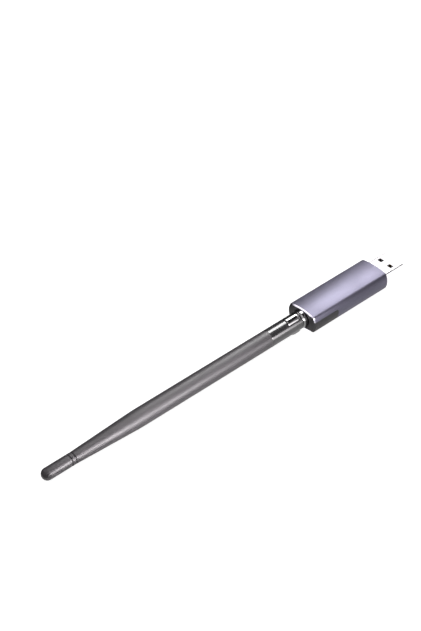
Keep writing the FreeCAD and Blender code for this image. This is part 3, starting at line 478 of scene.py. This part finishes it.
def make_piece(name, points, faces, body, slot, stands_for, crease=32.0):
    """Makes a mesh from points in millimetres, merges what coincides, shades it smooth below the
    crease angle, and lets it ride on its body in place of a solid."""
    mesh = bpy.data.meshes.new(name)
    places = (np.asarray(points).reshape(-1, 3) * MM).tolist()
    mesh.from_pydata(places, [], [list(map(int, f)) for f in faces])
    work = bmesh.new()
    work.from_mesh(mesh)
    bmesh.ops.remove_doubles(work, verts=work.verts, dist=2e-7)
    bmesh.ops.recalc_face_normals(work, faces=work.faces)
    work.to_mesh(mesh)
    work.free()
    mesh.shade_smooth()
    mesh.set_sharp_from_angle(angle=math.radians(crease))
    mesh.materials.append(finishes[slot])
    thing = bpy.data.objects.new(name, mesh)
    bpy.context.scene.collection.objects.link(thing)
    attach(thing, body)
    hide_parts(stands_for)
    print(f"{name}: {len(mesh.vertices)} points, {len(mesh.polygons)} faces")
    return thing


# %% [markdown]
# ## Rounded profiles
# A moulded or turned edge is never quite sharp, and the small radius is what catches the light.
# A profile is written down as corners with a radius each, and the arcs are worked out from them.

# %% Rounded and turned profiles
def rounded(corners, steps=6):
    """A path through (x, y, radius) corners. At a corner with a radius the path leaves each side
    at the radius over the tangent of half the corner's angle, and turns about a centre on the
    bisector."""
    corners = np.array(corners, float)
    path = []
    for before, here, after in zip(corners[:-2], corners[1:-1], corners[2:]):
        if here[2] == 0:
            path.append(here[None, :2])
            continue
        u = (before - here)[:2] / np.hypot(*(before - here)[:2])
        w = (after - here)[:2] / np.hypot(*(after - here)[:2])
        half = math.acos(np.clip(u @ w, -1, 1)) / 2
        centre = here[:2] + (u + w) / np.hypot(*(u + w)) * here[2] / math.sin(half)
        first = here[:2] + u * here[2] / math.tan(half) - centre
        last = here[:2] + w * here[2] / math.tan(half) - centre
        sweep = math.pi - 2 * half
        t = np.linspace(0, 1, steps + 1)[:, None]
        turn = np.sin((1 - t) * sweep) * first + np.sin(t * sweep) * last
        path.append(centre + turn / math.sin(sweep))
    return np.concatenate([corners[:1, :2], *path, corners[-1:, :2]])


def turned(profile, around=96):
    """A profile of (x, radius) pairs turned about the X axis: (x, r cos a, r sin a) for each angle
    a."""
    angle = np.arange(around) * 2 * np.pi / around
    x, r = profile[:, :1], profile[:, 1:]
    points = np.stack(np.broadcast_arrays(x, r * np.cos(angle), r * np.sin(angle)), -1)
    return points.reshape(-1, 3), grid_quads(len(profile), around, closed=True)


# %% [markdown]
# ## The rod
# The antenna's rod is a hollow moulding: straight for most of its length, then tapered to a slim
# tip with two fine grooves and a round end. It is a body of revolution, so one turned profile
# makes it all, from the inside of the tip round the mouth and back along the outside.

# %% Rod
ROD, TIP, BORE, CORE = 4.25, 2.85, 2.95, 1.55
MOUTH, TAPER_START, TAPER_END, CORE_END, TIP_CENTRE = -83.75, -162.0, -196.7, -205.7, -210.7
GROOVE_HALF, GROOVE_FLOOR, GROOVE_DEPTH = 0.36, 0.26, 0.4
rod_corners = [(CORE_END, 0.0, 0), (CORE_END, CORE, 0), (TAPER_END, CORE, 0),
               (TAPER_START, BORE, 0), (MOUTH, BORE, 0), (MOUTH, ROD, 0.18),
               (TAPER_START, ROD, 180.0), (TAPER_END, TIP, 0.5)]
for groove in (TAPER_END - 0.4, TAPER_END - 2.5):
    rod_corners += [(groove + GROOVE_HALF, TIP, 0.06),
                    (groove + GROOVE_FLOOR, TIP - GROOVE_DEPTH, 0.05),
                    (groove - GROOVE_FLOOR, TIP - GROOVE_DEPTH, 0.05),
                    (groove - GROOVE_HALF, TIP, 0.06)]
rod_corners += [(TIP_CENTRE - TIP, TIP, TIP - 0.001), (TIP_CENTRE - TIP, 0.0, 0)]
points, faces = turned(rounded(rod_corners, 10))
make_piece("antenna_rod", points, faces, "antenna", "rod_plastic", "antenna_sleeve")

# %% [markdown]
# ## The swivel's collar
# The swivel is a polished black moulding. Its round collar turns in the housing's socket, on a
# stub with a groove for a spring clip. All of it is round, so it is turned from one profile.

# %% Collar
STUB, COLLAR, CLIP_GROOVE, LEAD_HOLE = 2.9, 4.3, 2.4, 0.8
STUB_FRONT, CLIP_FRONT, CLIP_REAR = -53.7, -54.4, -55.0
COLLAR_FRONT, COLLAR_REAR = -61.3, -64.4
collar_path = rounded([
    (STUB_FRONT, LEAD_HOLE, 0), (STUB_FRONT, STUB, 0.2), (CLIP_FRONT, STUB, 0.1),
    (CLIP_FRONT, CLIP_GROOVE, 0), (CLIP_REAR, CLIP_GROOVE, 0), (CLIP_REAR, STUB, 0),
    (COLLAR_FRONT, STUB, 0), (COLLAR_FRONT, COLLAR, 0.25), (COLLAR_REAR, COLLAR, 1.1),
    (COLLAR_REAR, 2.0, 0), (COLLAR_REAR, LEAD_HOLE, 0), (STUB_FRONT, LEAD_HOLE, 0)], 8)
points, faces = turned(collar_path)
make_piece("swivel_collar", points, faces, "swivel", "gloss_black", "swivel_base")

# %% [markdown]
# ## The swivel's tongue
# The tongue behind the collar carries the hinge. It is a section carried along the axis: upright
# sides, a half-round top, and a heel that is round about the pivot so that the fork can swing past
# it. A slot from below lets the aerial lead bend. It swells out of the collar in a quarter round.

# %% Tongue section
TONGUE, ARCH, HEEL, SLOT_HALF, SLOT_TOP = 2.9, 1.8, 4.05, 1.2, 1.6
PIVOT, ROOT, TONGUE_END, SLOT_END = -68.5, -63.3, -72.55, -66.6
NECK, NECK_END, END_ROUND = 1.5, -66.2, 0.35


def tongue_section(x, slot_top, inset=0.0):
    """The tongue's outline at x, from the slot's edge round the outside and back through the slot.
    The sides are upright, the top is half a circle between them, and the heel's depth is the root
    of its reach squared less the distance from the pivot squared."""
    depth = HEEL if x > PIVOT else math.sqrt(max(HEEL ** 2 - (x - PIVOT) ** 2, 0))
    bottom = inset - depth
    low = np.radians(np.linspace(-90, 0, 5))
    high = np.radians(np.linspace(0, 180, 49))
    fine = max(0.3 - inset, 0.05)
    corner = np.stack([TONGUE - inset - fine + fine * np.cos(low),
                       bottom + fine + fine * np.sin(low)], -1)
    arch = np.stack([(TONGUE - inset) * np.cos(high), ARCH + (TONGUE - inset) * np.sin(high)], -1)
    slot = [(-SLOT_HALF, bottom), (-SLOT_HALF, slot_top), (SLOT_HALF, slot_top),
            (SLOT_HALF, bottom)]
    loop = np.concatenate([corner, arch, corner[::-1] * (-1, 1), slot])
    return np.column_stack([np.full(len(loop), float(x)), loop])


def quarter(start, stop, deep, steps=7):
    """Places along X and insets of a quarter-round edge: from start at full depth, by one less the
    cosine of the turn, to stop at none, by one less its sine."""
    turn = np.radians(np.linspace(0, 90, steps))
    return list(zip(start + (stop - start) * (1 - np.cos(turn)), deep * (1 - np.sin(turn))))


# %% Tongue
solid = [tongue_section(ROOT, -HEEL, NECK)]
solid += [tongue_section(x, -HEEL, inset) for x, inset in quarter(COLLAR_REAR, NECK_END, NECK)]
solid += [tongue_section(SLOT_END, -HEEL)]
heel = PIVOT - HEEL * np.sin(np.radians(np.linspace(0, 52, 10)))
slotted = [tongue_section(x, SLOT_TOP) for x in (SLOT_END, PIVOT + 0.9, *heel)]
rounding = quarter(TONGUE_END, TONGUE_END + END_ROUND, END_ROUND)[::-1]
end = [tongue_section(x, SLOT_TOP, inset) for x, inset in rounding]
rows = np.array([*solid, *slotted, *end])
columns = rows.shape[1]
faces = grid_quads(len(rows), columns, closed=True).tolist() + end_faces(len(rows), columns)
make_piece("swivel_tongue", rows, faces, "swivel", "gloss_black", "swivel_base")

# %% [markdown]
# ## The knuckle's barrel
# The fork knuckle carries the rod and closes round the tongue with two cheeks. Its barrel is a
# turned profile, but the bevel on its front edge runs only between the cheeks, where the bright
# joint line shows. So the profile's radii are a table of places along by angles around, and the
# bevel is taken from one row of it.

# %% Knuckle barrel
GAP, SPIGOT, SPIGOT_REAR, KNUCKLE_FRONT, BEVEL = 2.98, 2.9, -92.25, -72.65, 0.25
ARC_STEPS = 25
open_side = math.degrees(math.acos(GAP / ROD))
marks = [-open_side, open_side, 180 - open_side, 180 + open_side, 360 - open_side]
arcs = [np.linspace(a, b, ARC_STEPS) for a, b in zip(marks[:-1], marks[1:])]
angle = np.radians(np.concatenate(arcs))
bevel = np.repeat([0.0, BEVEL, 0.0, BEVEL], ARC_STEPS)
barrel = np.array([
    (SPIGOT_REAR, LEAD_HOLE), (SPIGOT_REAR, SPIGOT), (MOUTH, SPIGOT), (MOUTH, 4.1),
    (MOUTH + 0.15, ROD), (-73.0, ROD), (KNUCKLE_FRONT, ROD), (KNUCKLE_FRONT, 3.0),
    (KNUCKLE_FRONT, 1.7), (-73.45, LEAD_HOLE), (SPIGOT_REAR, LEAD_HOLE)])
along = np.repeat(barrel[:, :1], len(angle), 1)
radius = np.repeat(barrel[:, 1:], len(angle), 1)
radius[6] -= bevel
along[5] = KNUCKLE_FRONT - np.maximum(bevel, 0.02)
points = np.stack([along, radius * np.cos(angle), radius * np.sin(angle)], -1)
faces = grid_quads(len(barrel), len(angle), closed=True)
make_piece("knuckle_barrel", points, faces, "antenna", "knuckle_plastic", "fork_knuckle")

# %% [markdown]
# ## The fork's cheeks
# Each cheek is a stack of level slices. Every slice reaches from the tongue's side out to the
# rod's circle, and forward to the cheek's nose, which is upright above the pivot and round about
# it below. Its front corners are rounded with quarter circles, and the flank has a few columns of
# its own, so that the rounding's shading stays at the nose.

# %% Cheeks
CHEEK_FRONT, CHEEK_REACH, CHEEK_TOP, EDGE, FLANK_STEPS = -64.6, 3.9, 3.02, 0.25, 6
for side, label in ((1, "left"), (-1, "right")):
    z = CHEEK_TOP * np.sin(np.radians(np.linspace(-90, 90, 41)))
    outer = np.sqrt(ROD ** 2 - z ** 2)
    nose = np.where(z > 0, CHEEK_FRONT, PIVOT + np.sqrt(CHEEK_REACH ** 2 - z ** 2))
    edge = np.minimum(EDGE, (outer - GAP) * 0.45)[:, None]
    turn = np.radians(np.linspace(0, 90, 5))
    front_x = nose[:, None] - edge * (1 - np.sin(turn))
    outer_y = outer[:, None] - edge * (1 - np.cos(turn))
    inner_y = GAP + edge * (1 - np.cos(turn))
    root = np.full((len(z), 1), KNUCKLE_FRONT)
    flank = root + np.linspace(0, 1, FLANK_STEPS) * (front_x[:, :1] - 0.04 - root)
    x = np.hstack([root, flank, front_x, front_x[:, ::-1], flank[:, :0:-1]])
    y = np.hstack([np.full_like(root, GAP), np.repeat(outer[:, None], FLANK_STEPS, 1), outer_y,
                   inner_y[:, ::-1], np.full((len(z), FLANK_STEPS - 1), GAP)])
    points = np.stack([x, side * y, np.repeat(z[:, None], x.shape[1], 1)], -1)
    rows, columns = x.shape
    faces = grid_quads(rows, columns, closed=True).tolist() + end_faces(rows, columns)
    make_piece(f"cheek_{label}", points, faces, "antenna", "knuckle_plastic", "fork_knuckle")

# %% [markdown]
# ## The housing's outline
# The housing is an extruded aluminium tube: gently crowned top and bottom, with rounded sides.
# Its outline is a function of the direction in which the surface faces: a side arc, a small corner
# arc, then the wide crown. A wall at a depth has the same centres and smaller radii, so the inner
# skin uses the same formula.

# %% The oval outline
SIDE, CORNER, CROWN = (0.75, 0.0, 8.0), (6.4518, 2.9077, 1.6), (0.0, -26.8, 32.0)
SIDE_END = math.atan2(CORNER[1] - SIDE[1], CORNER[0] - SIDE[0])
CROWN_START = math.atan2(CORNER[1] - CROWN[1], CORNER[0] - CROWN[0])
FACING_STEP, CROWN_POINTS = 4.0, 25


def oval(facing, inset=0.0):
    """The point of the outline whose outward normal points at the angle facing: arc centre +
    (radius - inset) times (cos, sin), with the arc chosen by the angle in the first quarter and
    mirrored into the others."""
    across, upward = np.cos(facing), np.sin(facing)
    steep = np.arctan2(np.abs(upward), np.abs(across))
    arc = np.where(steep < SIDE_END, 0, np.where(steep < CROWN_START, 1, 2))
    centre_y, centre_z, radius = np.array([SIDE, CORNER, CROWN]).T[:, arc]
    y = np.where(across < 0, -1, 1) * centre_y + (radius - inset) * across
    z = np.where(upward < 0, -1, 1) * centre_z + (radius - inset) * upward
    return y, z


def facings(start, stop):
    """Angles from start to stop in degrees: a step on the sides and corners, closer on the wide
    crown, where a degree is a longer way, and where the notch's corner is drawn."""
    side, crown = math.degrees(SIDE_END), math.degrees(CROWN_START)
    steps = [np.linspace(centre - 90 + crown, centre + 90 - crown, CROWN_POINTS)
             for centre in (90, 270)]
    for low, high in ((-side, side), (side, crown), (180 - crown, 180 - side),
                      (180 - side, 180 + side), (180 + side, 180 + crown),
                      (360 - crown, 360 - side)):
        steps.append(np.linspace(low, high, 1 + int(round((high - low) / FACING_STEP))))
    steps += [np.linspace(5, 13.7, 8), np.linspace(166.3, 175, 8)]
    every = np.unique(np.round(np.concatenate(steps), 6))
    every = np.concatenate([every, every[every < 20] + 360])
    inside = every[(every > start + 0.2) & (every < stop - 0.2)]
    return np.concatenate([[start], inside, [stop]])


# %% [markdown]
# ## The housing's skins
# Two notches at the back of the sides let in the moulded cap, so each skin is four grids that meet
# at the notches' edges: the crown, the near side, the underside and the far side. The sides start
# at the notch's nose. The outer skin is drawn in at both ends for the polished cut.

# %% Skins of the housing
FRONT, REAR, NOSE = -13.5, -61.8, -46.5
NOTCH_TOP, NOTCH_CORNER, WING_INNER = 1.9, 1.2, 6.1
WALL, CUT, FLAT = 0.7, 0.5, -5.14
LENGTH_STEPS, REAR_STEPS = 12, 5


def notch_line(z):
    """Where the sheet starts behind the notch: at its nose, and round the notch's top corner in a
    quarter circle."""
    above = np.clip(z - (NOTCH_TOP - NOTCH_CORNER), 0, NOTCH_CORNER)
    return NOSE - NOTCH_CORNER + np.sqrt(NOTCH_CORNER ** 2 - above ** 2)


def band_marks(inset):
    """The facing angles in degrees at which the bands meet in a skin: where the side arc is as
    high as the notch, and where the underside is as wide as the space between the cap's wings."""
    top = math.degrees(math.asin(NOTCH_TOP / (SIDE[2] - inset)))
    under = math.degrees(math.asin(WING_INNER / (CROWN[2] - inset)))
    return [top, 180 - top, 270 - under, 270 + under, 360 + top]


def housing_skin(inset):
    """One skin of the tube at a depth. The angles of each band are those of the outer skin, moved
    in the same proportion to this skin's marks, so that all skins have matching points."""
    marks, outer_marks = band_marks(inset), band_marks(0.0)
    along = np.linspace(0, 1, LENGTH_STEPS)[:, None]
    cut = 0.0 if inset else CUT
    grids = []
    for index in range(4):
        even = facings(outer_marks[index], outer_marks[index + 1])
        share = (even - even[0]) / (even[-1] - even[0])
        band = np.radians(marks[index] + share * (marks[index + 1] - marks[index]))
        y, z = oval(band, inset)
        if index in (1, 3):
            start = notch_line(np.minimum(np.abs(z), 5.0) * np.sign(z))
        else:
            start = np.full(len(band), NOSE - (NOTCH_CORNER if index == 0 else 0))
        x = start + along * (FRONT - CUT - start)
        y_cut, z_cut = oval(band, inset + cut)
        rows = [np.stack(np.broadcast_arrays(x, y, z), -1),
                np.stack([np.full(len(band), FRONT), y_cut, z_cut], -1)[None]]
        if index in (0, 2):
            back = np.linspace(REAR + CUT, start[0], REAR_STEPS)[:-1, None]
            rows = [np.stack([np.full(len(band), REAR), y_cut, z_cut], -1)[None],
                    np.stack(np.broadcast_arrays(back, y, z), -1), *rows]
        grids.append(np.concatenate(rows))
    return grids


# %% [markdown]
# ## From skins to a wall
# The four grids share the points along their edges, and the two skins share their quads. A quad
# edge that no neighbour uses is an open edge: round the mouths and the notches, and later round
# the plug's windows. A strip of quads joins the two skins along all of them.

# %% The housing's wall
def joined(grids):
    """Stacks grids of points into one list, with their quads."""
    points, faces, count = [], [], 0
    for grid in grids:
        points.append(grid.reshape(-1, 3))
        faces.append(grid_quads(*grid.shape[:2]) + count)
        count += len(points[-1])
    return np.concatenate(points), np.concatenate(faces)


def two_skins(outer, inner, quads):
    """Makes a wall of two skins that share their quads: the inner one faces the other way, and
    each edge that is used once is joined across the wall."""
    edges = np.concatenate([quads[:, [k, (k + 1) % 4]] for k in range(4)])
    _, place, uses = np.unique(np.sort(edges, 1), axis=0, return_index=True, return_counts=True)
    rim = edges[place[uses == 1]]
    count = len(outer)
    strip = np.column_stack([rim[:, 1], rim[:, 0], rim[:, 0] + count, rim[:, 1] + count])
    print(f"{len(rim)} open edges joined")
    return np.concatenate([outer, inner]), np.concatenate([quads, quads[:, ::-1] + count, strip])


outer, quads = joined(housing_skin(0.0))
inner, _ = joined(housing_skin(WALL))
outer[:, 2] = np.maximum(outer[:, 2], FLAT)
_, first, same = np.unique(np.round(outer, 5), axis=0, return_index=True, return_inverse=True)
points, faces = two_skins(outer[first], inner[first], same.reshape(-1)[quads])

# %% [markdown]
# ## Rails and the finished housing
# Two pairs of rails inside hold the board, and are plain blocks. The ends of the finished housing
# get the bright finish: the faces there that lean towards the end.

# %% Rails and the finished housing
def face_values(mesh, what):
    """The centre or the normal of every face, as rows of X, Y and Z."""
    values = np.zeros(3 * len(mesh.polygons))
    mesh.polygons.foreach_get(what, values)
    return values.reshape(-1, 3)


def second_finish(mesh, slot, chosen):
    """Gives the chosen faces of a mesh a second finish."""
    mesh.materials.append(finishes[slot])
    mesh.polygons.foreach_set("material_index", chosen.astype(int))
    print(f"{mesh.name}: {chosen.sum()} faces in {slot}")


RAIL_INNER, RAIL_PLAY = 6.25, 0.01
RAILS = ((-2.2, -1.6, 8.2), (-4.2, -3.1, 7.2))
block = np.array([(a, b, c) for a in (0, 1) for b in (0, 1) for c in (0, 1)])
block_faces = np.array([(0, 1, 3, 2), (4, 6, 7, 5), (0, 4, 5, 1), (2, 3, 7, 6), (0, 2, 6, 4),
                        (1, 5, 7, 3)])
for side in (1, -1):
    for low, high, wide in RAILS:
        corner = np.array([NOSE + RAIL_PLAY, side * RAIL_INNER, low])
        size = np.array([FRONT - NOSE - 2 * RAIL_PLAY, side * (wide - RAIL_INNER), high - low])
        faces = np.concatenate([faces, block_faces + len(points)])
        points = np.concatenate([points, corner + block * size])
housing = make_piece("housing", points, faces, "stick", "anodised_aluminium", "sleeve", 25.0)
lean = np.abs(face_values(housing.data, "normal")[:, 0])
x = face_values(housing.data, "center")[:, 0] / MM
at_end = np.minimum(np.abs(x - FRONT), np.abs(x - REAR)) < 0.45
second_finish(housing.data, "cut_edge", (lean > 0.3) & at_end)

# %% [markdown]
# ## The plug's shell
# The plug is folded from bright plated sheet, with a seam below and two square windows above and
# below that the socket's springs snap into. The sheet is one grid round the folded section, whose
# lines run along the edges of the windows, so that a window is simply quads left out. Two solder
# legs reach down behind it, and what lies inside the sheet is painted near black: painted shade
# for the inside, where little light comes.

# %% The folded section
HALF_WIDE, HALF_HIGH, BEND, SHEET = 6.0, 2.25, 0.6, 0.3
WINDOW_X, WINDOW_Y, WINDOW_LONG, WINDOW_WIDE = -6.15, 3.05, 1.0, 1.25
SEAM = 0.05
shell_x = np.array([-0.02, -0.12, -2.5, WINDOW_X + WINDOW_LONG, WINDOW_X, WINDOW_X - WINDOW_LONG,
                    -9.0, -12.0, -15.0, -17.8])
lip = np.where(shell_x == shell_x[0], 0.10, 0.0)


def folded_section(inset):
    """Half the fold's outline on the +Y side from the seam to the middle of the top: straight
    runs, and bends whose radius is the outer radius less the inset."""
    flat = np.array([SEAM, 0.9, WINDOW_Y - WINDOW_WIDE, WINDOW_Y, WINDOW_Y + WINDOW_WIDE,
                     HALF_WIDE - BEND])
    angle = np.radians(np.linspace(0, 90, 9))[1:-1]
    swing = (BEND - inset) * np.stack([np.sin(angle), -np.cos(angle)], -1)
    low = np.column_stack([flat, np.full(len(flat), inset - HALF_HIGH)])
    bend = swing + (HALF_WIDE - BEND, BEND - HALF_HIGH)
    upward = np.linspace(BEND - HALF_HIGH, HALF_HIGH - BEND, 4)
    side = np.column_stack([np.full(4, HALF_WIDE - inset), upward])
    return np.concatenate([low, bend, side, bend[::-1] * (1, -1), low[:0:-1] * (1, -1)])


def sheet_points(inset, lip_inset):
    """The grid of one skin of the sheet: the section, mirrored, at each place along the plug."""
    rows = []
    for x, extra in zip(shell_x, lip_inset):
        right = folded_section(inset + extra)
        loop = np.concatenate([right, right[::-1] * (-1, 1)])
        rows.append(np.column_stack([np.full(len(loop), x), loop]))
    return np.array(rows)


# %% The folded sheet
outer = sheet_points(0.0, lip)
inner = sheet_points(SHEET, -lip * 0.6)
quads = grid_quads(*outer.shape[:2])
x, y, z = outer.reshape(-1, 3)[quads].mean(1).T
in_window = ((np.abs(x - WINDOW_X) < WINDOW_LONG) & (np.abs(np.abs(y) - WINDOW_Y) < WINDOW_WIDE)
             & (np.abs(z) > 2.2))
points, faces = two_skins(outer.reshape(-1, 3), inner.reshape(-1, 3), quads[~in_window])
leg = np.array([(x, y, z) for x in (-17.4, -16.2) for y in (5.7, 6.0) for z in (-3.35, -1.5)])
for side in (1, -1):
    faces = np.concatenate([faces, block_faces + len(points)])
    points = np.concatenate([points, leg * (1, side, 1)])
plug = make_piece("plug_sheet", points, faces, "stick", "plug_steel", "usb_shell", 28.0)
x, y, z = face_values(plug.data, "center").T / MM
# Painted shade: the faces inside the sheet get the near-black finish in place of the shadow there
deep = (np.abs(y) < HALF_WIDE - 0.08) & (np.abs(z) < HALF_HIGH - 0.08) & (x < -0.1)
second_finish(plug.data, "plug_inside_painted_shade", deep)

# %% [markdown]
# ## Sizes
# The visual model is meant to fill the same box as the engineering model. Its size is printed
# here; the engineering model's length is printed at the start.

# %% Print the size
low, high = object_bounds()
print("size of the visual model in mm:", [round(1000 * (b - a), 2) for a, b in zip(low, high)])
